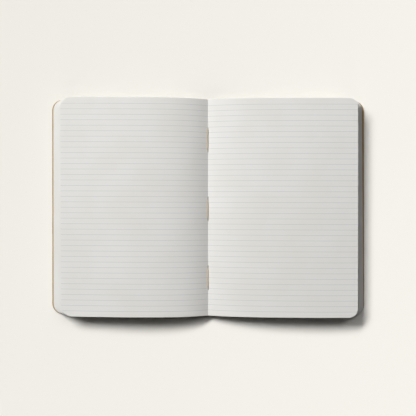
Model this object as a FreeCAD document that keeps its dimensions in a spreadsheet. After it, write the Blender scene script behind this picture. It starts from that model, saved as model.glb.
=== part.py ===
import FreeCAD, Part
import math
import os

import Sketcher
from FreeCAD import Placement, Rotation, Vector

# A thread-sewn notebook with a wrap-round card cover, lying open at its centre spread.
# +X points to the reader's right, +Y to the head of the pages and +Z up.
# The origin is under the middle of the spine, on the surface that the cover lies on.

SIZES = {
    "page_height": 254.0,        # 40 ruling spaces of 6.35 mm
    "page_width": 172.3,         # one leaf from its fold to its fore edge
    "corner_radius": 12.7,
    "stack_height": 12.6,        # the leaves on one side, lying on the cover
    "gutter_height": 3.6,        # paper between the spine and the centre fold
    "fold_offset": 0.1,          # the centre fold lies right of the spine's middle
    "left_rise_length": 45.0,    # from the fold to where the page lies level
    "right_rise_length": 81.0,
    "left_droop": 1.5,           # how far the left fore edge sinks
    "left_droop_length": 66.0,
    "cover_thickness": 0.6,
    "cover_lip": 0.4,            # cover beyond the fore edge of the closed block
    "thread_diameter": 1.2,
    "thread_bend_radius": 1.3,
    "thread_clearance": 0.05,
    "thread_tail": 6.0,          # thread beyond the outermost needle slits
    "stitch_count": 3,
    "stitch_length": 28.0,
    "stitch_spacing": 81.0,
    "stitch_shift": -1.7,        # the middle stitch lies below the page's middle
    "slit_length": 4.6,          # what the needle and the thread tore open
}

CUT_MARGIN = 4.0                 # how far cutting shapes stand past what they cut

# Sizes that follow from the driving ones, as expressions.
CREST = "(Sizes.cover_thickness + Sizes.stack_height)"
FOLD = "(Sizes.cover_thickness + Sizes.gutter_height)"
RISE = "(Sizes.stack_height - Sizes.gutter_height)"
SPINE_HALF = CREST               # the closed notebook is two stacks and two covers thick
LOWEST_REACH = "(Sizes.stack_height + Sizes.page_width)"
COVER_REACH = f"({SPINE_HALF} + Sizes.page_width + Sizes.cover_lip)"
HALF_HEIGHT = "(Sizes.page_height / 2)"
THREAD_HALF = "(Sizes.thread_diameter / 2 + Sizes.thread_clearance)"
FIRST_STITCH = "(Sizes.stitch_shift - (Sizes.stitch_count - 1) / 2 * Sizes.stitch_spacing)"

os.makedirs("parts", exist_ok=True)
doc = FreeCAD.newDocument("open_notebook")

sheet = doc.addObject("Spreadsheet::Sheet", "Sizes")
for row, (alias, size) in enumerate(SIZES.items(), start=1):
    sheet.set(f"A{row}", alias)
    sheet.set(f"B{row}", str(size))
    sheet.setAlias(f"B{row}", alias)
doc.recompute()


def value(expression):
    """The number that an expression on the sheet gives now."""
    return float(sheet.evalExpression(expression))


def origin_item(body, role):
    return next(item for item in body.Origin.OriginFeatures if item.Role == role)


def add_sketch(body, name, role, lift=None):
    """A sketch on one of the body's own origin planes, lifted along its normal."""
    sketch = body.newObject("Sketcher::SketchObject", name)
    sketch.AttachmentSupport = [(origin_item(body, role), "")]
    sketch.MapMode = "FlatFace"
    if lift:
        sketch.setExpression("AttachmentOffset.Base.z", lift)
    return sketch


def add_dimension(sketch, name, kind, references, expression):
    """A named dimension whose value follows the sheet."""
    index = sketch.addConstraint(Sketcher.Constraint(kind, *references, value(expression)))
    sketch.renameConstraint(index, name)
    sketch.setExpression(f"Constraints.{name}", expression)


def add_place(sketch, name, point, x=None, y=None):
    """Dimensions from the sketch's origin to a point, given as (geometry, end)."""
    if x:
        add_dimension(sketch, f"{name}_x", "DistanceX", (-1, 1, *point), x)
    if y:
        add_dimension(sketch, f"{name}_y", "DistanceY", (-1, 1, *point), y)


def draw_outline(sketch, west, east, south, north, rounded=()):
    """A closed rectangle in expressions. rounded lists the corners, numbered
    anticlockwise from the south-west one, that have the notebook's corner radius."""
    radius = value("Sizes.corner_radius")
    x_low, x_high, y_low, y_high = (value(side) for side in (west, east, south, north))
    corners = [Vector(x_low, y_low), Vector(x_high, y_low), Vector(x_high, y_high), Vector(x_low, y_high)]
    along = [Vector(1, 0), Vector(0, 1), Vector(-1, 0), Vector(0, -1)]
    for side in range(4):
        following = (side + 1) % 4
        begin = corners[side] + along[side] * (radius if side in rounded else 0)
        finish = corners[following] - along[side] * (radius if following in rounded else 0)
        line = sketch.addGeometry(Part.LineSegment(begin, finish))
        sketch.addConstraint(Sketcher.Constraint("Vertical" if side % 2 else "Horizontal", line))
    arcs = []
    for corner in range(4):
        before = (corner - 1) % 4
        if corner not in rounded:
            sketch.addConstraint(Sketcher.Constraint("Coincident", before, 2, corner, 1))
            continue
        centre = corners[corner] + (along[corner] - along[before]) * radius
        turn = math.pi * (1 + corner / 2)
        circle = Part.Circle(centre, Vector(0, 0, 1), radius)
        arc = sketch.addGeometry(Part.ArcOfCircle(circle, turn, turn + math.pi / 2))
        sketch.addConstraint(Sketcher.Constraint("Tangent", before, 2, arc, 1))
        sketch.addConstraint(Sketcher.Constraint("Tangent", arc, 2, corner, 1))
        arcs.append(arc)
    if arcs:
        add_dimension(sketch, "corner_radius", "Radius", (arcs[0],), "Sizes.corner_radius")
        for arc in arcs[1:]:
            sketch.addConstraint(Sketcher.Constraint("Equal", arcs[0], arc))
    add_place(sketch, "south", (0, 1), y=south)
    add_place(sketch, "east", (1, 1), x=east)
    add_place(sketch, "north", (2, 1), y=north)
    add_place(sketch, "west", (3, 1), x=west)


def make_cover_panel(name, turn):
    """One cover, drawn right of the spine and turned about Z to its own side."""
    body = doc.addObject("PartDesign::Body", name)
    outline = add_sketch(body, name + "_outline", "XY_Plane")
    draw_outline(outline, SPINE_HALF, COVER_REACH, f"-{HALF_HEIGHT}", HALF_HEIGHT, rounded=(1, 2))
    card = body.newObject("PartDesign::Pad", name + "_card")
    card.Profile = outline
    card.setExpression("Length", "Sizes.cover_thickness")
    body.Placement = Placement(Vector(), Rotation(Vector(0, 0, 1), turn))
    return body


def make_cover_spine():
    """The strip of card between the two spine folds."""
    strip = doc.addObject("Part::Box", "cover_spine")
    strip.setExpression("Length", f"2 * {SPINE_HALF}")
    strip.setExpression("Width", "Sizes.page_height")
    strip.setExpression("Height", "Sizes.cover_thickness")
    strip.setExpression("Placement.Base.x", f"-{SPINE_HALF}")
    strip.setExpression("Placement.Base.y", f"-{HALF_HEIGHT}")
    return strip


def top_reach(rise_length):
    """How far out the uppermost leaf ends: its arched stretch takes up some of its width."""
    return f"(Sizes.page_width - 2 / 3 * {RISE} ^ 2 / {rise_length})"


def block_edge(edge_height, reach):
    """Where a fore edge would be at the height of the upper outline, on the straight slope
    from the lowest leaf's edge through the uppermost leaf's edge."""
    slope = f"({LOWEST_REACH} - {reach}) / ({edge_height} - Sizes.cover_thickness)"
    return f"({LOWEST_REACH} - {slope} * (Sizes.stack_height + {CUT_MARGIN}))"


def add_leaf_block(body):
    """The stack as a loft from the lowest leaf to above the uppermost: every leaf has
    rounded corners of its own, and the fore edges slope because the folds lie side by
    side on the spine."""
    left_reach = f"({top_reach('Sizes.left_rise_length')} - Sizes.fold_offset)"
    right_reach = f"({top_reach('Sizes.right_rise_length')} + Sizes.fold_offset)"
    left_edge = block_edge(f"({CREST} - Sizes.left_droop)", left_reach)
    right_edge = block_edge(CREST, right_reach)
    every_corner = (0, 1, 2, 3)
    lowest = add_sketch(body, "lowest_leaf", "XY_Plane", "Sizes.cover_thickness")
    draw_outline(lowest, f"-{LOWEST_REACH}", LOWEST_REACH, f"-{HALF_HEIGHT}", HALF_HEIGHT, every_corner)
    above = add_sketch(body, "above_leaves", "XY_Plane", f"{CREST} + {CUT_MARGIN}")
    draw_outline(above, f"-{left_edge}", right_edge, f"-{HALF_HEIGHT}", HALF_HEIGHT, every_corner)
    block = body.newObject("PartDesign::AdditiveLoft", "leaf_block")
    block.Profile = lowest
    block.Sections = [above]
    block.Ruled = True


def draw_open_pages(sketch):
    """What lies above the open pages, seen from the tail: two arcs that leave the fold and
    meet the level pages at a tangent, a droop at the left fore edge, and a box on top."""
    level = value(CREST)
    fold = Vector(value("Sizes.fold_offset"), value(FOLD))
    beyond = value(LOWEST_REACH) + CUT_MARGIN
    rise = value(RISE)
    left_level = fold.x - value("Sizes.left_rise_length")
    right_level = fold.x + value("Sizes.right_rise_length")
    droop_start = fold.x - value("Sizes.page_width") + value("Sizes.left_droop_length")
    droop_radius = "(Sizes.left_droop_length ^ 2 / Sizes.left_droop + Sizes.left_droop) / 2"

    def arc_under(x_level, radius, start, end):
        centre = Vector(x_level, level - radius)
        return Part.ArcOfCircle(Part.Circle(centre, Vector(0, 0, 1), radius), start, end)

    def rising_arc(x_level):
        run = fold.x - x_level
        radius = (run ** 2 / rise + rise) / 2
        angle = math.atan2(radius - rise, run)
        return arc_under(x_level, radius, *sorted((angle, math.pi / 2)))

    left_arc = sketch.addGeometry(rising_arc(left_level))
    left_line = sketch.addGeometry(Part.LineSegment(Vector(left_level, level), Vector(droop_start, level)))
    radius = value(droop_radius)
    droop_angle = math.pi / 2 + math.asin((beyond + droop_start) / radius)
    droop = sketch.addGeometry(arc_under(droop_start, radius, math.pi / 2, droop_angle))
    droop_end = Vector(-beyond, level - radius * (1 - math.sin(droop_angle)))
    top = level + CUT_MARGIN
    left_wall = sketch.addGeometry(Part.LineSegment(droop_end, Vector(-beyond, top)))
    roof = sketch.addGeometry(Part.LineSegment(Vector(-beyond, top), Vector(beyond, top)))
    right_wall = sketch.addGeometry(Part.LineSegment(Vector(beyond, top), Vector(beyond, level)))
    right_line = sketch.addGeometry(Part.LineSegment(Vector(beyond, level), Vector(right_level, level)))
    right_arc = sketch.addGeometry(rising_arc(right_level))

    for line in (left_line, roof, right_line):
        sketch.addConstraint(Sketcher.Constraint("Horizontal", line))
    for line in (left_wall, right_wall):
        sketch.addConstraint(Sketcher.Constraint("Vertical", line))
    for kind, first, second in (
        ("Tangent", (left_arc, 2), (left_line, 1)),
        ("Tangent", (left_line, 2), (droop, 1)),
        ("Coincident", (droop, 2), (left_wall, 1)),
        ("Coincident", (left_wall, 2), (roof, 1)),
        ("Coincident", (roof, 2), (right_wall, 1)),
        ("Coincident", (right_wall, 2), (right_line, 1)),
        ("Tangent", (right_line, 2), (right_arc, 1)),
        ("Coincident", (right_arc, 2), (left_arc, 1)),
    ):
        sketch.addConstraint(Sketcher.Constraint(kind, *first, *second))
    add_place(sketch, "fold", (left_arc, 1), "Sizes.fold_offset", FOLD)
    add_place(sketch, "left_level", (left_line, 1), "Sizes.fold_offset - Sizes.left_rise_length", CREST)
    droop_place = "Sizes.fold_offset - Sizes.page_width + Sizes.left_droop_length"
    add_place(sketch, "droop_start", (left_line, 2), droop_place)
    add_dimension(sketch, "droop_radius", "Radius", (droop,), droop_radius)
    add_place(sketch, "left_wall", (left_wall, 2), f"-({LOWEST_REACH} + {CUT_MARGIN})",
              f"{CREST} + {CUT_MARGIN}")
    add_place(sketch, "right_wall", (right_wall, 2), f"{LOWEST_REACH} + {CUT_MARGIN}", CREST)
    add_place(sketch, "right_level", (right_arc, 1), "Sizes.fold_offset + Sizes.right_rise_length")


def cut_needle_slits(body):
    """A slit through the fold at each end of a stitch, repeated for every stitch, and under
    the fold the channel in which the thread runs from one stitch to the next."""
    west = f"Sizes.fold_offset - {THREAD_HALF}"
    east = f"Sizes.fold_offset + {THREAD_HALF}"
    run = "(Sizes.stitch_spacing * (Sizes.stitch_count - 1) + Sizes.stitch_length)"
    half_run = f"({run} / 2 + Sizes.thread_tail + {THREAD_HALF})"
    channel_outline = add_sketch(body, "thread_channel_outline", "XY_Plane", "Sizes.cover_thickness")
    draw_outline(channel_outline, west, east, f"Sizes.stitch_shift - {half_run}",
                 f"Sizes.stitch_shift + {half_run}")
    channel = body.newObject("PartDesign::Pocket", "thread_channel")
    channel.Profile = channel_outline
    channel.Reversed = True
    channel.setExpression("Length", f"Sizes.thread_bend_radius + {THREAD_HALF} + Sizes.thread_diameter / 2")

    stitch_half = "Sizes.stitch_length / 2"
    slits = []
    for end, sign in (("tail", "-"), ("head", "+")):
        needle = f"({FIRST_STITCH} {sign} {stitch_half})"
        outer = f"({needle} {sign} {THREAD_HALF})"
        inner = f"({outer} - ({sign}1) * Sizes.slit_length)"
        south, north = (outer, inner) if sign == "-" else (inner, outer)
        outline = add_sketch(body, f"{end}_slit_outline", "XY_Plane", "Sizes.cover_thickness")
        draw_outline(outline, west, east, south, north)
        slit = body.newObject("PartDesign::Pocket", f"{end}_slit")
        slit.Profile = outline
        slit.Type = "ThroughAll"
        slit.Reversed = True
        slits.append(slit)
    row = body.newObject("PartDesign::LinearPattern", "needle_slits")
    row.Originals = slits
    row.Direction = (origin_item(body, "Y_Axis"), [""])
    row.setExpression("Length", "Sizes.stitch_spacing * (Sizes.stitch_count - 1)")
    row.setExpression("Occurrences", "Sizes.stitch_count")
    body.Tip = row


def make_pages():
    """All the leaves as one solid."""
    body = doc.addObject("PartDesign::Body", "pages")
    add_leaf_block(body)
    doc.recompute()
    opening = add_sketch(body, "open_pages", "XZ_Plane")
    draw_open_pages(opening)
    spread = body.newObject("PartDesign::Pocket", "open_spread")
    spread.Profile = opening
    spread.SideType = "Symmetric"
    spread.Type = "ThroughAll"
    doc.recompute()
    cut_needle_slits(body)
    return body


def rounded_path(points, radius):
    """Straight runs between the points, with a tangent arc at each corner."""
    edges = []
    start = points[0]
    for before, corner, after in zip(points, points[1:], points[2:]):
        incoming = (corner - before).normalize()
        outgoing = (after - corner).normalize()
        half_turn = incoming.getAngle(outgoing) / 2
        setback = radius * math.tan(half_turn)
        leave = corner - incoming * setback
        arrive = corner + outgoing * setback
        inward = (outgoing - incoming).normalize()
        middle = corner + inward * (radius / math.cos(half_turn) - radius)
        edges.append(Part.LineSegment(start, leave).toShape())
        edges.append(Part.Arc(leave, middle, arrive).toShape())
        start = arrive
    edges.append(Part.LineSegment(start, points[-1]).toShape())
    return Part.Wire(edges)


def make_sewing_thread():
    """One thread along the fold: over the pages in each stitch, through the slits, and
    under the pages between the stitches."""
    thread_radius = value("Sizes.thread_diameter / 2")
    x = value("Sizes.fold_offset")
    steepest = 2 * value(RISE) / value("Sizes.left_rise_length")
    over = value(FOLD) + thread_radius * math.hypot(1, steepest) + value("Sizes.thread_clearance")
    under = value(f"Sizes.cover_thickness + {THREAD_HALF}")
    half_stitch = value("Sizes.stitch_length / 2")
    first = value(FIRST_STITCH)
    spacing = value("Sizes.stitch_spacing")
    tail = value("Sizes.thread_tail")
    count = round(value("Sizes.stitch_count"))
    stitches = [first + spacing * place for place in range(count)]
    points = [Vector(x, stitches[0] - half_stitch - tail, under)]
    for centre in stitches:
        low = centre - half_stitch
        high = centre + half_stitch
        points += [Vector(x, low, under), Vector(x, low, over)]
        points += [Vector(x, high, over), Vector(x, high, under)]
    points.append(Vector(x, stitches[-1] + half_stitch + tail, under))
    path = rounded_path(points, value("Sizes.thread_bend_radius"))
    section = Part.Wire([Part.makeCircle(thread_radius, points[0], Vector(0, 1, 0))])
    thread = doc.addObject("Part::Feature", "sewing_thread")
    thread.Shape = path.makePipeShell([section], True, False)
    print("thread volume against section times length:",
          round(thread.Shape.Volume / (math.pi * thread_radius ** 2 * path.Length), 4))
    return thread


pieces = [
    make_pages(),
    make_sewing_thread(),
    make_cover_panel("front_cover", 180),
    make_cover_panel("back_cover", 0),
    make_cover_spine(),
]
for piece in pieces:
    piece.Label = piece.Name
doc.recompute()

failed = [item.Name for item in doc.Objects if {"Invalid", "Error"} & set(item.State)]
if failed:
    raise RuntimeError("failed objects: " + ", ".join(failed))
for piece in pieces:
    shape = piece.Shape
    if shape.isNull() or not shape.isValid() or len(shape.Solids) != 1:
        raise RuntimeError(piece.Label + " is not one valid solid")
for piece in pieces:
    piece.Shape.exportStep(f"parts/{piece.Label}.step")
    box = piece.Shape.BoundBox
    print(piece.Label, "volume", round(piece.Shape.Volume, 2),
          "from", [round(n, 2) for n in (box.XMin, box.YMin, box.ZMin)],
          "to", [round(n, 2) for n in (box.XMax, box.YMax, box.ZMax)])
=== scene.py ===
import math

import bpy
import numpy as np
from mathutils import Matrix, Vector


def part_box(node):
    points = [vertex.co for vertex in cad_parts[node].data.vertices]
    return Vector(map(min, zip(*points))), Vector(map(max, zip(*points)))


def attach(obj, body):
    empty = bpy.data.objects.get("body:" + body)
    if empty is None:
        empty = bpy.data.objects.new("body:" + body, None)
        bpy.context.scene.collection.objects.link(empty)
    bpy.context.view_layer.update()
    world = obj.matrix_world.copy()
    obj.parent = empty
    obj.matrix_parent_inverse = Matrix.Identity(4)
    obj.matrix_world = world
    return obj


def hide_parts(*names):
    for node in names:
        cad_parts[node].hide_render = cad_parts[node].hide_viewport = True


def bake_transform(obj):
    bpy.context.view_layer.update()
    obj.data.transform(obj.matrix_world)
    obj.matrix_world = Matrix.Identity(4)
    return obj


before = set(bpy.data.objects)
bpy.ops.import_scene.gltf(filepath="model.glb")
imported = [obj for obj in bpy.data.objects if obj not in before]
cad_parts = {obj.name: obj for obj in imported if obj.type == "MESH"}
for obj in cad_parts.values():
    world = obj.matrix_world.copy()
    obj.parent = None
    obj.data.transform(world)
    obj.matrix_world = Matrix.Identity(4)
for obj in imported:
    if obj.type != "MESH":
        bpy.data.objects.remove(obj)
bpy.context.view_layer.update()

mm = 0.001  # settings are in millimetres, meshes in metres


def nodeBox(node):  # a CAD node's corners in millimetres
    return [np.array(corner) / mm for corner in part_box(node)]


pagesLow, pagesHigh = nodeBox("pages")
threadLow, threadHigh = nodeBox("sewing_thread")
coverLow, coverHigh = nodeBox("back_cover")

book = {
    "cardTop": pagesLow[2],  # the lowest leaf lies here
    "crest": pagesHigh[2],  # the open pages reach this level
    "lowestReach": pagesHigh[0],
    "halfHeight": pagesHigh[1],
    "coverReach": coverHigh[0],
    "spineFold": coverLow[0],  # half the spine's width
    "foldX": (threadLow[0] + threadHigh[0]) / 2,
    "foldHeight": 4.2,  # the centre fold above the table
    "cornerRadius": 12.7,
    "slant": 0.0045,  # it lies this far out of square, in x over y
}
print("frame read: pages from", pagesLow.round(2), "to", pagesHigh.round(2))


# Colours and nodes

def linear(hexColour):
    # Each sRGB channel c becomes c / 12.92 below 0.04045, else ((c + 0.055) / 1.055) to the power 2.4
    channels = [int(hexColour[i : i + 2], 16) / 255 for i in (1, 3, 5)]
    curved = [c / 12.92 if c <= 0.04045 else ((c + 0.055) / 1.055) ** 2.4 for c in channels]
    return (*curved, 1.0)


def node(tree, kind, links=None, **settings):
    # Adds one node. Settings named after a property set it, the others set the input socket of
    # that name or number (as in i0); links maps an input to the output that feeds it.
    made = tree.nodes.new(kind)
    for name, value in settings.items():
        if hasattr(made, name):
            setattr(made, name, value)
        else:
            key = int(name[1:]) if name[0] == "i" and name[1:].isdigit() else name.replace("_", " ")
            made.inputs[key].default_value = value
    for key, output in (links or {}).items():
        tree.links.new(output, made.inputs[key])
    return made


def newMaterial(name, **shader):
    material = bpy.data.materials.new(name)
    material.use_nodes = True
    tree = material.node_tree
    tree.nodes.clear()
    principled = node(tree, "ShaderNodeBsdfPrincipled")
    for socket, value in shader.items():
        principled.inputs[socket.replace("_", " ")].default_value = value
    node(tree, "ShaderNodeOutputMaterial", {"Surface": principled.outputs["BSDF"]})
    return material, tree, principled


ruling = {
    "spaces": 40.2,  # line spaces from head to tail
    "lines": 39,
    "headMargin": 1.15,  # in line spaces
    "lineWidth": 0.45,
    "inkSpread": 0.4,  # share of half a line's width over which the ink fades, each way
    "paper": "#DAD9D6",
    "warmPaper": "#D8D6D1",
    "line": "#BDC0C2",
    "cutEdgeShade": "#ACAEAC",  # painted shade: cut edges darker for the light the gaps between leaves trap
    "openPage": 0.5,  # a face whose normal has more Z than this is an open page
    "cutFace": 0.3,  # and one that has less, up or down, is a cut edge
    "mottleSize": 38.0,
    "mottleLow": 0.35,  # the noise values between which the tint changes
    "mottleHigh": 0.65,
    "fibreLength": 1.6,
    "fibreHeight": 0.012,
    "fibreStrength": 0.5,
}


def makePaper():
    # Uncoated wood-free writing paper, machine finished and ruled in thin grey ink: matt, off-white,
    # with a cloudy formation and short fibres that only close light picks out.
    material, tree, principled = newMaterial("uncoatedWritingPaper", Roughness=0.86,
                                             Specular_IOR_Level=0.25)
    place = node(tree, "ShaderNodeTexCoord").outputs["Object"]
    mottle = node(tree, "ShaderNodeTexNoise", {"Vector": place}, Scale=1 / (ruling["mottleSize"] * mm),
                  Detail=3.0)
    cloud = node(tree, "ShaderNodeMapRange", {"Value": mottle.outputs["Fac"]},
                 From_Min=ruling["mottleLow"], From_Max=ruling["mottleHigh"])
    paper = node(tree, "ShaderNodeMix", {"Factor": cloud.outputs["Result"]}, data_type="RGBA",
                 i6=linear(ruling["paper"]), i7=linear(ruling["warmPaper"]))

    # Ruling: the distance along Y to the nearest line is the fraction of a line space that is left
    pitch = 2 * book["halfHeight"] / ruling["spaces"]
    firstLine = book["halfHeight"] - ruling["headMargin"] * pitch
    split = node(tree, "ShaderNodeSeparateXYZ", {"Vector": place})
    below = node(tree, "ShaderNodeMath", {1: split.outputs["Y"]}, operation="SUBTRACT",
                 i0=firstLine * mm)
    count = node(tree, "ShaderNodeMath", {0: below.outputs[0]}, operation="DIVIDE", i1=pitch * mm)
    nearest = node(tree, "ShaderNodeMath", {0: count.outputs[0]}, operation="ROUND")
    offset = node(tree, "ShaderNodeMath", {0: count.outputs[0], 1: nearest.outputs[0]},
                  operation="SUBTRACT")
    apart = node(tree, "ShaderNodeMath", {0: offset.outputs[0]}, operation="ABSOLUTE")
    halfLine = ruling["lineWidth"] / 2 / pitch
    inked = node(tree, "ShaderNodeMapRange", {"Value": apart.outputs[0]},
                 interpolation_type="SMOOTHSTEP", From_Min=halfLine * (1 - ruling["inkSpread"]),
                 From_Max=halfLine * (1 + ruling["inkSpread"]), To_Min=1.0, To_Max=0.0)
    afterFirst = node(tree, "ShaderNodeMath", {0: nearest.outputs[0]}, operation="GREATER_THAN", i1=-0.5)
    beforeLast = node(tree, "ShaderNodeMath", {0: nearest.outputs[0]}, operation="LESS_THAN",
                      i1=ruling["lines"] - 0.5)
    ruled = node(tree, "ShaderNodeAttribute", attribute_name="ruled")
    normal = node(tree, "ShaderNodeNewGeometry").outputs["Normal"]
    facing = node(tree, "ShaderNodeSeparateXYZ", {"Vector": normal})
    upward = node(tree, "ShaderNodeMath", {0: facing.outputs["Z"]}, operation="GREATER_THAN",
                  i1=ruling["openPage"])
    mask = inked.outputs["Result"]
    for part in (afterFirst.outputs[0], beforeLast.outputs[0], ruled.outputs["Fac"], upward.outputs[0]):
        mask = node(tree, "ShaderNodeMath", {0: mask, 1: part}, operation="MULTIPLY").outputs[0]
    coloured = node(tree, "ShaderNodeMix", {"Factor": mask, 6: paper.outputs[2]}, data_type="RGBA",
                    i7=linear(ruling["line"]))
    # Cut edges take a darker colour: painted shade for the light trapped between the leaves
    steep = node(tree, "ShaderNodeMath", {0: facing.outputs["Z"]}, operation="ABSOLUTE")
    cut = node(tree, "ShaderNodeMath", {0: steep.outputs[0]}, operation="LESS_THAN",
               i1=ruling["cutFace"])
    edgeShaded = node(tree, "ShaderNodeMix", {"Factor": cut.outputs[0], 6: coloured.outputs[2]},
                 data_type="RGBA", i7=linear(ruling["cutEdgeShade"]))
    tree.links.new(edgeShaded.outputs[2], principled.inputs["Base Color"])

    fibres = node(tree, "ShaderNodeTexNoise", {"Vector": place}, Scale=1 / (ruling["fibreLength"] * mm),
                  Detail=6.0, Roughness=0.7)
    bump = node(tree, "ShaderNodeBump", {"Height": fibres.outputs["Fac"]},
                Strength=ruling["fibreStrength"], Distance=ruling["fibreHeight"] * mm)
    tree.links.new(bump.outputs["Normal"], principled.inputs["Normal"])
    return material


kraft = {
    "card": "#AD936D",
    "darkCard": "#9C8159",
    "paleFleck": "#C9B591",
    "darkFleck": "#6E5638",
    "cloudSize": 22.0,
    "cloudLow": 0.35,  # the noise values between which the card darkens
    "cloudHigh": 0.7,
    "cloudShare": 0.8,
    "fleckSize": 0.9,  # real flecks are about 0.3 mm and would not show
    "paleRange": (0.66, 0.74),  # the noise values between which a fleck fades in
    "darkRange": (0.36, 0.28),
    "fleckShare": 0.7,
    "grainLength": 6.0,
    "grainWidth": 0.5,
    "grainHeight": 0.03,
    "grainStrength": 0.6,
    # painted shade in the pressed scores
    "scorePaintedShade": 0.45,
}


def makeKraft():
    # Unbleached kraft card, calendered: brown, matt, with darker clouds, pale and dark shive flecks,
    # a faint grain along the machine direction, which runs head to tail, and painted shade that darkens
    # the pressed scores, from the "pressed" attribute.
    material, tree, principled = newMaterial("unbleachedKraftCard", Roughness=0.78,
                                             Specular_IOR_Level=0.3)
    place = node(tree, "ShaderNodeTexCoord").outputs["Object"]
    cloud = node(tree, "ShaderNodeTexNoise", {"Vector": place}, Scale=1 / (kraft["cloudSize"] * mm),
                 Detail=4.0)
    cloudy = node(tree, "ShaderNodeMapRange", {"Value": cloud.outputs["Fac"]},
                  From_Min=kraft["cloudLow"], From_Max=kraft["cloudHigh"], To_Max=kraft["cloudShare"])
    base = node(tree, "ShaderNodeMix", {"Factor": cloudy.outputs["Result"]}, data_type="RGBA",
                i6=linear(kraft["card"]), i7=linear(kraft["darkCard"]))
    stretch = 1 / (kraft["grainWidth"] * mm)
    grainPlace = node(tree, "ShaderNodeMapping", {"Vector": place}, vector_type="POINT",
                      Scale=(stretch, 1 / (kraft["grainLength"] * mm), stretch))
    grain = node(tree, "ShaderNodeTexNoise", {"Vector": grainPlace.outputs["Vector"]}, Scale=1.0,
                 Detail=3.0)
    flecks = node(tree, "ShaderNodeTexNoise", {"Vector": place}, Scale=1 / (kraft["fleckSize"] * mm),
                  Detail=2.0)
    colour = base.outputs[2]
    for shade in ("pale", "dark"):
        low, high = kraft[shade + "Range"]
        share = node(tree, "ShaderNodeMapRange", {"Value": flecks.outputs["Fac"]}, From_Min=low,
                     From_Max=high, To_Max=kraft["fleckShare"])
        colour = node(tree, "ShaderNodeMix", {"Factor": share.outputs["Result"], 6: colour},
                      data_type="RGBA", i7=linear(kraft[shade + "Fleck"])).outputs[2]
    # Painted shade: the card darkens in the pressed scores, from the "pressed" attribute
    pressed = node(tree, "ShaderNodeAttribute", attribute_name="pressed")
    paintedScoreShade = node(tree, "ShaderNodeMath", {0: pressed.outputs["Fac"]}, operation="MULTIPLY",
                  i1=kraft["scorePaintedShade"])
    colour = node(tree, "ShaderNodeMix", {"Factor": paintedScoreShade.outputs[0], 6: colour}, data_type="RGBA",
                  i7=linear(kraft["darkFleck"])).outputs[2]
    tree.links.new(colour, principled.inputs["Base Color"])
    bump = node(tree, "ShaderNodeBump", {"Height": grain.outputs["Fac"]},
                Strength=kraft["grainStrength"], Distance=kraft["grainHeight"] * mm)
    tree.links.new(bump.outputs["Normal"], principled.inputs["Normal"])
    return material


thread = {
    "strands": 3,
    "strandRadius": 0.28,
    "strandOffset": 0.25,
    "twistPitch": 3.4,
    "sides": 8,
    "step": 0.3,
    "bend": 1.4,  # how far a corner of the route is smoothed
    "dives": ((2.3, 3.5), (3.6, 4.9), (2.0, 1.2)),  # how slowly each stitch's ends sink
    "stitches": 3,
    "stitchSpacing": 81.0,
    "stitchLength": 28.0,
    "leftLean": 0.25,  # a stitch settles on the steeper, left page
    "lift": -0.5,  # and lies lower than the frame's round rod
    "flattened": 0.75,  # the taut thread is pressed into the fold
    "slitHalfWidth": 0.45,
    "slitOutside": 0.5,
    "linen": "#C6B08A",
    "shade": "#A38A60",  # painted shade in the grooves
    "shadeLow": 0.1,  # the values between which the painted groove shade gives way
    "shadeHigh": 0.5,
    "hairSize": 0.4,
    "hairHeight": 0.05,
    "hairStrength": 0.5,
    "smoothAngle": 80,
}


def makeLinen():
    # Natural linen bookbinding thread, spun and twisted from three strands: tan, matt and slightly
    # hairy, with painted shade in the grooves between its strands, from the "turn" attribute round
    # each strand.
    material, tree, principled = newMaterial("naturalLinenThread", Roughness=0.8, Specular_IOR_Level=0.3,
                                             Sheen_Weight=0.2)
    turn = node(tree, "ShaderNodeAttribute", attribute_name="turn")
    place = node(tree, "ShaderNodeTexCoord").outputs["Object"]
    hair = node(tree, "ShaderNodeTexNoise", {"Vector": place}, Scale=1 / (thread["hairSize"] * mm),
                Detail=4.0)
    mixed = node(tree, "ShaderNodeMath", {0: turn.outputs["Fac"], 1: hair.outputs["Fac"]},
                 operation="MULTIPLY")
    # Painted shade: the sides of the strands that face the grooves take the shade colour
    share = node(tree, "ShaderNodeMapRange", {"Value": mixed.outputs[0]},
                 From_Min=thread["shadeLow"], From_Max=thread["shadeHigh"])
    colour = node(tree, "ShaderNodeMix", {"Factor": share.outputs["Result"]}, data_type="RGBA",
                  i6=linear(thread["shade"]), i7=linear(thread["linen"]))
    tree.links.new(colour.outputs[2], principled.inputs["Base Color"])
    bump = node(tree, "ShaderNodeBump", {"Height": hair.outputs["Fac"]},
                Strength=thread["hairStrength"], Distance=thread["hairHeight"] * mm)
    tree.links.new(bump.outputs["Normal"], principled.inputs["Normal"])
    return material


# Meshes

def newPiece(name, vertices, faces, material, slot, smoothAngle=35, **attributes):
    # Takes corners in millimetres. Every piece of the notebook gets its slant: x less slant * y
    vertices = np.array(vertices)
    vertices[:, 0] -= book["slant"] * vertices[:, 1]
    mesh = bpy.data.meshes.new(name)
    mesh.from_pydata((vertices * mm).tolist(), [], [list(face) for face in faces])
    for attribute, values in attributes.items():
        made = mesh.attributes.new(attribute, "FLOAT", "POINT")
        made.data.foreach_set("value", np.asarray(values, np.float32))
    mesh.polygons.foreach_set("use_smooth", np.ones(len(mesh.polygons), bool))
    mesh.set_sharp_from_angle(angle=math.radians(smoothAngle))
    mesh.materials.append(material)
    mesh.update()
    piece = bpy.data.objects.new(name, mesh)
    bpy.context.scene.collection.objects.link(piece)
    return piece


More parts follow.
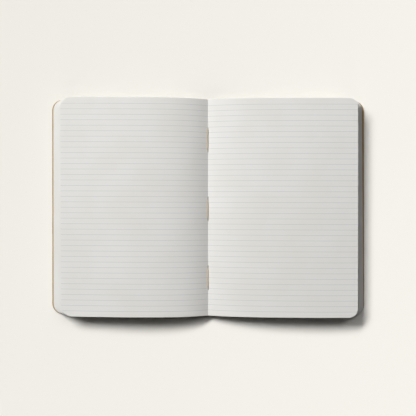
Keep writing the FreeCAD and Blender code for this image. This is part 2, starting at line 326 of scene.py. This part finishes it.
def closedStrips(x, yTail, yHead, under, over):
    # Every row of the arrays is one strip, every column a station across it. A station is a
    # four-sided outline from the tail to the head, whose place in x and whose under and upper
    # heights are given at both, and the strip joins its stations and closes its ends.
    strips, stations = x[0].shape
    corners = [(x[1], yHead, over[1]), (x[0], yTail, over[0]),
               (x[0], yTail, under[0]), (x[1], yHead, under[1])]
    corners = [np.stack(np.broadcast_arrays(*corner), -1) for corner in corners]
    vertices = np.stack(corners, 2).reshape(-1, 3)
    first = 4 * (np.arange(strips)[:, None] * stations + np.arange(stations - 1)).ravel()
    side = np.arange(4)
    following = (side + 1) % 4
    walls = np.stack([first[:, None] + side, first[:, None] + following,
                      first[:, None] + 4 + following, first[:, None] + 4 + side], -1).reshape(-1, 4)
    begin = 4 * np.arange(strips)[:, None] * stations + side[::-1]
    end = 4 * (np.arange(strips)[:, None] * stations + stations - 1) + side
    faces = np.concatenate([walls, begin, end])
    if x[0][0, -1] > x[0][0, 0]:  # a strip that runs towards +X is walked the other way round
        faces = faces[:, ::-1]
    return vertices, faces


def joined(batches):
    # Puts meshes one after another: each batch's face numbers move up by the vertices before it
    before = np.cumsum([0] + [len(vertices) for vertices, faces in batches[:-1]])
    vertices = np.concatenate([vertices for vertices, faces in batches])
    faces = np.concatenate([faces + start for (vertices, faces), start in zip(batches, before)])
    return vertices, faces


leaves = {
    "perSide": 126,
    "filled": 0.86,  # share of each leaf's room that is paper
    "unevenness": 0.3,
    "swell": 0.35,  # the fore edge slopes this much less halfway up
    "raggedness": 0.1,  # how far a leaf's fore edge strays by chance
    "waviness": 0.25,  # and how far in waves up the stack
    "waveAngle": 9.0,  # in radians, from the bottom of the stack to its top
    "acrossStations": 44,
    "cornerStations": 11,
    "nearStations": 5,  # beside the needle slits
    "crowding": 2.2,  # stations crowd towards the spine
    "sagPower": 1.2,
    "foldGap": 0.05,
    "seed": 7,
}
leftPage = {
    "side": -1,
    "cornerRadius": 12.7,
    "topReach": 170.6,  # from the centre fold to the fore edge
    "edgeInset": 1.55,  # the lowest leaf ends this much inside the frame's
    "headInset": 0.0,  # and this much further in at the head
    "riseLength": 24.5,  # how slowly the page rises out of the fold
    "risePower": 1.08,
    "droop": 0.8,  # how much lower the fore edge lies than the crest
    "droopStart": 60.0,
    "tailDrop": 2.5,  # how much lower the tail end of the fore edge lies
    "tailStart": 90.0,
}
rightPage = {
    "side": 1,
    "cornerRadius": 10.4,
    "topReach": 173.2,
    "edgeInset": 0.6,
    "headInset": 1.6,
    "riseLength": 42.0,
    "risePower": 1.0,
    "droop": 0.4,
    "droopStart": 60.0,
    "tailDrop": 1.3,
    "tailStart": 130.0,
}


def sag(distance, start, page):
    # Grows from 0 at the start to 1 at the fore edge, as the distance past the start to a power
    return (np.clip(distance - start, 0, None) / (page["topReach"] - start)) ** leaves["sagPower"]


def pageHeights(distance, page):
    # The level crest, less the rise from the fold times exp(-(distance / length) ^ power), less the
    # droop, all at the tail and at the head. At the tail a further drop comes off that.
    rise = book["crest"] - book["foldHeight"]
    gap = rise * np.exp(-((distance / page["riseLength"]) ** page["risePower"]))
    height = book["crest"] - gap - page["droop"] * sag(distance, page["droopStart"], page)
    height[0] -= page["tailDrop"] * sag(distance[0], page["tailStart"], page)
    return height


def leafHeights(distance, share, page):
    # The leaves start side by side along the spine, so at a distance from the fold only those whose
    # share of the stack is above 1 - distance / run are there. They divide the room between the card
    # and the open page evenly.
    run = book["crest"] - book["cardTop"]
    missing = np.clip(1 - (distance + leaves["foldGap"]) / (run + leaves["foldGap"]), 0, None)
    upward = np.clip((share - missing) / (1 - missing), 0, 1)
    return book["cardTop"] + (pageHeights(distance, page) - book["cardTop"]) * upward


def makeStack(page, slits):
    # Leaf k starts at run * (1 - k / last) from the fold and ends on the sloped fore edge. Its
    # outline is straight, then a quarter circle: distance r sin(a), half height r cos(a). The
    # distances are stacks of one at the tail and one at the head.
    rng = np.random.default_rng(leaves["seed"] + page["side"])
    many = leaves["perSide"]
    run = book["crest"] - book["cardTop"]
    rooms = 1 + leaves["unevenness"] * rng.uniform(-1, 1, many)
    upper = np.cumsum(rooms) / rooms.sum()
    lower = upper - leaves["filled"] * rooms / rooms.sum()
    start = run * (1 - np.arange(many) / (many - 1))
    lowest = abs(page["side"] * book["lowestReach"] - book["foldX"]) - page["edgeInset"]
    leaned = upper - leaves["swell"] / (2 * np.pi) * np.sin(2 * np.pi * upper)
    reach = lowest + (page["topReach"] - lowest) * leaned
    stray = leaves["raggedness"] * rng.uniform(-1, 1, many)
    stray += leaves["waviness"] * np.sin(upper * leaves["waveAngle"])
    reach[:-1] -= np.abs(stray[:-1])
    reach = np.stack([reach, reach - page["headInset"] * (1 - upper)])

    radius = page["cornerRadius"]
    clear = np.maximum(start, thread["slitHalfWidth"])
    along = np.linspace(0, 1, leaves["acrossStations"]) ** leaves["crowding"]
    straight = clear[:, None] + (reach - radius - clear)[..., None] * along
    angle = np.linspace(0, np.pi / 2, leaves["cornerStations"])[1:]
    corner = (reach - radius)[..., None] + radius * np.sin(angle)
    distance = np.concatenate([straight, corner], 2)
    halfHeight = np.full_like(distance[0], book["halfHeight"])
    halfHeight[:, leaves["acrossStations"]:] += radius * (np.cos(angle) - 1)
    batches = [closedStrips(
        book["foldX"] + page["side"] * distance, -halfHeight, halfHeight,
        leafHeights(distance, lower[:, None], page), leafHeights(distance, upper[:, None], page))]
    ruled = [np.repeat(np.arange(many) == many - 1, distance.shape[2] * 4)]

    # Beside the fold the innermost leaves are whole only between the needle slits
    inner = np.flatnonzero(start < thread["slitHalfWidth"])
    along = np.linspace(0, 1, leaves["nearStations"])
    near = start[inner, None] + (thread["slitHalfWidth"] - start[inner, None]) * along
    near = np.stack([near, near])
    ends = np.concatenate([[-book["halfHeight"]], np.ravel(slits), [book["halfHeight"]]]).reshape(-1, 2)
    for low, high in ends:
        batches.append(closedStrips(
            book["foldX"] + page["side"] * near, np.full_like(near[0], low), np.full_like(near[0], high),
            leafHeights(near, lower[inner, None], page), leafHeights(near, upper[inner, None], page)))
        ruled.append(np.repeat(inner == many - 1, near.shape[2] * 4))
    return batches, ruled


def stitchEnds():
    # The stitches stand evenly about the middle of the thread
    middle = (threadLow[1] + threadHigh[1]) / 2
    places = np.arange(thread["stitches"]) - (thread["stitches"] - 1) / 2
    centres = middle + thread["stitchSpacing"] * places
    half = thread["stitchLength"] / 2
    return np.stack([centres - half, centres + half], 1)


def needleSlits():
    # Each stitch end has a slit from a little outside the needle hole to where the thread is up
    low, high = stitchEnds().T
    lowDive, highDive = np.array(thread["dives"]).T
    outside = thread["slitOutside"]
    return np.stack([low - outside, low + lowDive, high - highDive, high + outside], 1).reshape(-1, 2)


def makePages(material):
    slits = needleSlits()
    leftBatches, leftRuled = makeStack(leftPage, slits)
    rightBatches, rightRuled = makeStack(rightPage, slits)
    vertices, faces = joined(leftBatches + rightBatches)
    piece = newPiece("leaves", vertices, faces, material, "ruled_paper",
                     ruled=np.concatenate(leftRuled + rightRuled))
    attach(piece, "book_block")
    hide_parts("pages")
    return piece


def threadRoute():
    # Corners of the route under the fold, up through a slit, along the stitch and down again,
    # walked in even steps and then averaged over a bell-shaped window, which rounds the corners
    lowLevel = threadLow[2] + (threadHigh[0] - threadLow[0]) / 2
    highLevel = threadHigh[2] - (threadHigh[0] - threadLow[0]) / 2
    corners = [(threadLow[1], lowLevel)]
    for (low, high), (lowDive, highDive) in zip(stitchEnds(), thread["dives"]):
        corners += [(low, lowLevel), (low + lowDive, highLevel),
                    (high - highDive, highLevel), (high, lowLevel)]
    corners = np.array(corners + [(threadHigh[1], lowLevel)])
    walked = np.concatenate([[0], np.cumsum(np.linalg.norm(np.diff(corners, axis=0), axis=1))])
    at = np.arange(0, walked[-1], thread["step"])
    route = np.stack([np.interp(at, walked, corners[:, i]) for i in range(2)], 1)
    window = np.hanning(2 * round(thread["bend"] / thread["step"]) + 3)[1:-1]
    margin = len(window) // 2
    padded = np.pad(route, ((margin, margin), (0, 0)), "edge")
    smooth = np.stack([np.convolve(padded[:, i], window / window.sum(), "valid") for i in range(2)], 1)
    lifted = (smooth[:, 1] - lowLevel) / (highLevel - lowLevel)
    x = book["foldX"] - thread["leftLean"] * lifted
    return np.column_stack([x, smooth[:, 0], smooth[:, 1] + thread["lift"] * lifted])


def makeThread(material):
    # Each strand is a tube whose centre winds round the route: the route plus the offset turned by
    # its angle, and round that a circle of the strand's radius
    route = threadRoute()
    tangent = np.gradient(route, axis=0)
    tangent /= np.linalg.norm(tangent, axis=1)[:, None]
    across = np.tile([1.0, 0.0, 0.0], (len(route), 1))
    upward = np.cross(tangent, across)
    upward /= np.linalg.norm(upward, axis=1)[:, None]
    length = np.arange(len(route)) * thread["step"]
    sides = thread["sides"]
    around = np.arange(sides) * 2 * np.pi / sides

    def ring(angle, radius):
        sideways = np.cos(angle)[..., None] * across[:, None] / thread["flattened"]
        return radius * (sideways + thread["flattened"] * np.sin(angle)[..., None] * upward[:, None])

    batches = []
    turns = []
    for strand in range(thread["strands"]):
        twist = (2 * np.pi * (length / thread["twistPitch"] + strand / thread["strands"]))[:, None]
        centre = route[:, None] + ring(twist, thread["strandOffset"])
        surface = centre + ring(np.tile(around, (len(route), 1)) + twist, thread["strandRadius"])
        first = (np.arange(len(route) - 1)[:, None] * sides + np.arange(sides)).ravel()
        following = (np.arange(len(route) - 1)[:, None] * sides + (np.arange(sides) + 1) % sides).ravel()
        faces = np.stack([first, first + sides, following + sides, following], 1)
        capMiddles = np.stack([centre[0, 0], centre[-1, 0]])
        ends = len(route) * sides
        lastRing = (len(route) - 1) * sides
        step = np.arange(sides)
        following = (step + 1) % sides
        startCap = np.stack([step, following, np.full(sides, ends), np.full(sides, ends)], 1)
        endCap = np.stack([lastRing + following, lastRing + step, np.full(sides, ends + 1),
                           np.full(sides, ends + 1)], 1)
        batches.append((np.concatenate([surface.reshape(-1, 3), capMiddles]),
                        np.concatenate([faces, startCap, endCap])))
        turns.append(np.concatenate([np.tile(0.5 + 0.5 * np.cos(around), len(route)), [0.5, 0.5]]))
    vertices, faces = joined(batches)
    faces = [face[:3] if face[2] == face[3] else face for face in faces.tolist()]
    piece = newPiece("twistedThread", vertices, faces, material, "linen_thread",
                     smoothAngle=thread["smoothAngle"], turn=np.concatenate(turns))
    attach(piece, "book_block")
    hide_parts("sewing_thread")
    return piece


cover = {
    "frontInset": 1.2,  # its fore edge ends this much inside the frame's
    "backInset": 0.85,
    "scoreDepth": 0.14,
    "scoreWidth": 0.7,
    "bendWidth": 3.0,  # how much card bends when a cover swings
    "spineStations": 4,  # in the spine's half, up to this far before its fold
    "spineStop": 2.0,
    "foldStations": 25,  # from this far before the fold to this far past the bend
    "foldStart": 1.8,
    "foldStop": 0.3,
    "panelStations": 12,  # from this far past the bend
    "panelStart": 1.0,
    "cornerStations": 13,
}


def makeCoverHalf(name, side, material):
    # Stations run from the middle of the spine, crowd at the spine fold and follow the rounded
    # corners. The pressed score is a bell-shaped groove in the outer face.
    fold, radius = book["spineFold"], book["cornerRadius"]
    reach = book["coverReach"] - cover["frontInset" if side < 0 else "backInset"]
    bendEnd = fold + cover["bendWidth"]
    angle = np.linspace(0, np.pi / 2, cover["cornerStations"])
    straight = np.concatenate([
        np.linspace(0, fold - cover["spineStop"], cover["spineStations"]),
        np.linspace(fold - cover["foldStart"], bendEnd + cover["foldStop"], cover["foldStations"]),
        np.linspace(bendEnd + cover["panelStart"], reach - radius, cover["panelStations"])[:-1]])
    distance = np.concatenate([straight, reach - radius + radius * np.sin(angle)])[None, :]
    halfHeight = np.full_like(distance, book["halfHeight"])
    halfHeight[0, len(straight):] += radius * (np.cos(angle) - 1)
    pressed = np.exp(-(((distance - fold) / cover["scoreWidth"]) ** 2))
    outerFace = cover["scoreDepth"] * pressed
    innerFace = np.full_like(distance, book["cardTop"])
    vertices, faces = closedStrips([side * distance] * 2, -halfHeight, halfHeight,
                                   [outerFace] * 2, [innerFace] * 2)
    piece = newPiece(name, vertices, faces, material, "kraft_card", pressed=np.repeat(pressed, 4))
    panel = "front_cover" if side < 0 else "back_cover"
    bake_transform(piece)
    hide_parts(panel, "cover_spine")
    return piece


makePages(makePaper())
print("pages made:", 2 * leaves["perSide"], "leaves")
makeThread(makeLinen())
print("thread made")
kraftCard = makeKraft()
makeCoverHalf("frontCoverCard", -1, kraftCard)
makeCoverHalf("backCoverCard", 1, kraftCard)
print("cover made")


# Stage

studio = {
    "floor": "#F3F0E9",
    "floorReach": 4.0,  # in metres, as the lamp and the camera are
    "floorDrop": 0.00003,
    "openingInset": 0.7,  # in millimetres, as the notebook is
    "openingStations": 9,
    "headGlow": 0.2,  # how strongly the lit head edge throws light back at it
    "glowEnd": 25.0,  # in millimetres, it fades over this length at the ends of the edge
    "plainStart": 0.42,
    "plainEnd": 1.1,
    "gainLow": 0.7,  # the seen colour's gain stays between these
    "gainHigh": 1.4,
    "lampDistance": 4.6,
    "core": {"direction": (-1.03, 1.08, 0.79), "halfWidth": 1.8, "halfHeight": 0.36, "power": 364.0},
    "halo": {"direction": (-1, 1, 1), "halfWidth": 1.8, "halfHeight": 1.8, "power": 40.0},
    "fill": {"direction": (0.8, 1.1, 0.95), "halfWidth": 1.1, "halfHeight": 1.1, "power": 47.0},
    "ambient": 0.02,
    "fromBelow": 0.85,  # lights the card through the floor's opening
}


def seenRays(tree):
    # 1 for rays that show a surface to the camera, straight or by gloss or glass
    path = node(tree, "ShaderNodeLightPath").outputs
    mirrored = node(tree, "ShaderNodeMath", {0: path["Is Glossy Ray"], 1: path["Is Transmission Ray"]},
                    operation="MAXIMUM")
    return node(tree, "ShaderNodeMath", {0: path["Is Camera Ray"], 1: mirrored.outputs[0]},
                operation="MAXIMUM").outputs[0]


def thrownBack(tree, place):
    # 1 plus the light that the lit head edge of the notebook throws back at the floor, which falls
    # with the distance d from an edge of height h as 1 - d / sqrt(d ^ 2 + h ^ 2)
    split = node(tree, "ShaderNodeSeparateXYZ", {"Vector": place})
    past = node(tree, "ShaderNodeMath", {0: split.outputs["Y"]}, operation="SUBTRACT",
                i1=book["halfHeight"] * mm).outputs[0]
    squares = node(tree, "ShaderNodeMath", {0: past, 1: past}, operation="MULTIPLY_ADD",
                   i2=(book["crest"] * mm) ** 2)
    root = node(tree, "ShaderNodeMath", {0: squares.outputs[0]}, operation="SQRT")
    ratio = node(tree, "ShaderNodeMath", {0: past, 1: root.outputs[0]}, operation="DIVIDE")
    size = node(tree, "ShaderNodeMath", {0: ratio.outputs[0]}, operation="ABSOLUTE")
    fall = node(tree, "ShaderNodeMath", {1: size.outputs[0]}, operation="SUBTRACT", i0=1.0)
    along = node(tree, "ShaderNodeMath", {0: split.outputs["X"]}, operation="ABSOLUTE")
    beside = node(tree, "ShaderNodeMapRange", {"Value": along.outputs[0]},
                  interpolation_type="SMOOTHSTEP", To_Min=studio["headGlow"], To_Max=0.0,
                  From_Min=(book["coverReach"] - studio["glowEnd"]) * mm,
                  From_Max=book["coverReach"] * mm)
    return node(tree, "ShaderNodeMath", {0: fall.outputs[0], 1: beside.outputs["Result"]},
                operation="MULTIPLY_ADD", i2=1.0).outputs[0]


def makeFloor():
    # Seamless paper backdrop, matt. The backdrop that is seen has no falloff: its colour grows as
    # the light of a lamp at L falls, r ^ 4 / (|L| ^ 2 * (|L| ^ 2 - p . L)) at the distance r from it.
    # Further out it is seen as plain as what is behind it, so no horizon shows, and from below it is
    # clear.
    material, tree, principled = newMaterial("paperBackdrop", Roughness=1.0, Specular_IOR_Level=0.0)
    place = node(tree, "ShaderNodeTexCoord").outputs["Object"]
    seen = seenRays(tree)
    lamp = np.array(studio["core"]["direction"])
    lamp = lamp / np.linalg.norm(lamp) * studio["lampDistance"]
    squared = studio["lampDistance"] ** 2
    reach = node(tree, "ShaderNodeVectorMath", {0: place}, operation="DISTANCE", i1=tuple(lamp))
    fourth = node(tree, "ShaderNodeMath", {0: reach.outputs["Value"]}, operation="POWER", i1=4.0)
    towards = node(tree, "ShaderNodeVectorMath", {0: place}, operation="DOT_PRODUCT",
                   i1=tuple(lamp * squared))
    rest = node(tree, "ShaderNodeMath", {1: towards.outputs["Value"]}, operation="SUBTRACT",
                i0=squared**2)
    gain = node(tree, "ShaderNodeMath", {0: fourth.outputs[0], 1: rest.outputs[0]}, operation="DIVIDE")
    gain = node(tree, "ShaderNodeMath", {0: gain.outputs[0], 1: thrownBack(tree, place)},
                operation="DIVIDE")
    held = node(tree, "ShaderNodeClamp", {"Value": gain.outputs[0]}, Min=studio["gainLow"],
                Max=studio["gainHigh"])
    shown = node(tree, "ShaderNodeMix", {"Factor": seen, 3: held.outputs[0]}, data_type="FLOAT", i2=1.0)
    colour = node(tree, "ShaderNodeVectorMath", {"Scale": shown.outputs[0]}, operation="SCALE",
                  i0=linear(studio["floor"])[:3])
    tree.links.new(colour.outputs[0], principled.inputs["Base Color"])

    away = node(tree, "ShaderNodeVectorMath", {0: place}, operation="LENGTH")
    far = node(tree, "ShaderNodeMapRange", {"Value": away.outputs["Value"]},
               From_Min=studio["plainStart"], From_Max=studio["plainEnd"])
    farSeen = node(tree, "ShaderNodeMath", {0: far.outputs["Result"], 1: seen}, operation="MULTIPLY")
    plain = node(tree, "ShaderNodeEmission", Color=linear(studio["floor"]), Strength=1.0)
    above = node(tree, "ShaderNodeMixShader", {0: farSeen.outputs[0], 1: principled.outputs[0],
                                               2: plain.outputs[0]})
    clear = node(tree, "ShaderNodeBsdfTransparent")
    fromBelow = node(tree, "ShaderNodeNewGeometry").outputs["Backfacing"]
    surface = node(tree, "ShaderNodeMixShader", {0: fromBelow, 1: above.outputs[0], 2: clear.outputs[0]})
    tree.links.new(surface.outputs[0], tree.nodes["Material Output"].inputs["Surface"])

    # A disc with an opening just inside the notebook's outline, so that light from below reaches the
    # card. Each corner of the opening is centre + radius * (cos, sin), and the rim is on the same rays.
    radius = book["cornerRadius"]
    reach = np.array([book["coverReach"] - cover["frontInset"], book["halfHeight"]])
    reach = reach - studio["openingInset"]
    rays = []
    for x, y, first in ((1, 1, 0), (-1, 1, 90), (-1, -1, 180), (1, -1, 270)):
        angle = np.radians(np.linspace(first, first + 90, studio["openingStations"]))[:, None]
        rays.append((reach - radius) * (x, y) + radius * np.hstack([np.cos(angle), np.sin(angle)]))
    inner = np.concatenate(rays) * mm
    outer = inner / np.linalg.norm(inner, axis=1)[:, None] * studio["floorReach"]
    many = len(inner)
    vertices = [(x, y, -studio["floorDrop"]) for x, y in np.concatenate([inner, outer])]
    faces = [(i, i + many, (i + 1) % many + many, (i + 1) % many) for i in range(many)]
    mesh = bpy.data.meshes.new("floor")
    mesh.from_pydata(vertices, [], faces)
    mesh.materials.append(material)
    floor = bpy.data.objects.new("floor", mesh)
    bpy.context.scene.collection.objects.link(floor)


def makeLight():
    # A long level softbox on the left behind the head of the notebook, with a wide soft halo, a weak
    # fill on the right, a dim even sky and stronger light from below, which only the card gets. The
    # camera sees the backdrop's colour where the floor ends.
    for part in ("core", "halo", "fill"):
        settings = studio[part]
        data = bpy.data.lights.new("softbox_" + part, "AREA")
        data.shape = "ELLIPSE"
        data.size = 2 * settings["halfWidth"]
        data.size_y = 2 * settings["halfHeight"]
        data.energy = settings["power"]
        lamp = bpy.data.objects.new("softbox_" + part, data)
        direction = np.array(settings["direction"], float)
        lamp.location = direction / np.linalg.norm(direction) * studio["lampDistance"]
        lamp.rotation_euler = lamp.location.to_track_quat("Z", "Y").to_euler()
        bpy.context.scene.collection.objects.link(lamp)

    world = bpy.data.worlds.new("studio")
    bpy.context.scene.world = world
    world.use_nodes = True
    tree = world.node_tree
    tree.nodes.clear()
    towards = node(tree, "ShaderNodeTexCoord").outputs["Generated"]
    split = node(tree, "ShaderNodeSeparateXYZ", {"Vector": towards})
    downward = node(tree, "ShaderNodeMath", {0: split.outputs["Z"]}, operation="LESS_THAN", i1=0.0)
    level = node(tree, "ShaderNodeMix", {"Factor": downward.outputs[0]}, data_type="FLOAT",
                 i2=studio["ambient"], i3=studio["fromBelow"])
    sky = node(tree, "ShaderNodeBackground", {"Strength": level.outputs[0]}, Color=(1, 1, 1, 1))
    backdrop = node(tree, "ShaderNodeBackground", Color=linear(studio["floor"]), Strength=1.0)
    shown = node(tree, "ShaderNodeMixShader",
                 {0: seenRays(tree), 1: sky.outputs[0], 2: backdrop.outputs[0]})
    node(tree, "ShaderNodeOutputWorld", {"Surface": shown.outputs[0]})


view = {
    "height": 0.4392,  # in metres above the table, from how the page narrows towards its fold
    "lens": 32.0,
    "sensorWidth": 36.0,
    "y": -0.0006,
    "roll": 0.0035,  # in radians, from how the head and tail edges tilt
    "nearest": 0.01,
}


def makeCamera():
    data = bpy.data.cameras.new("camera")
    data.lens = view["lens"]
    data.sensor_width = view["sensorWidth"]
    data.clip_start = view["nearest"]
    camera = bpy.data.objects.new("camera", data)
    camera.location = (0, view["y"], view["height"])
    camera.rotation_euler = (0, 0, view["roll"])
    bpy.context.scene.collection.objects.link(camera)
    bpy.context.scene.camera = camera


makeFloor()
makeLight()
makeCamera()
bpy.context.scene.view_settings.view_transform = "Standard"
print("stage, light and camera made")
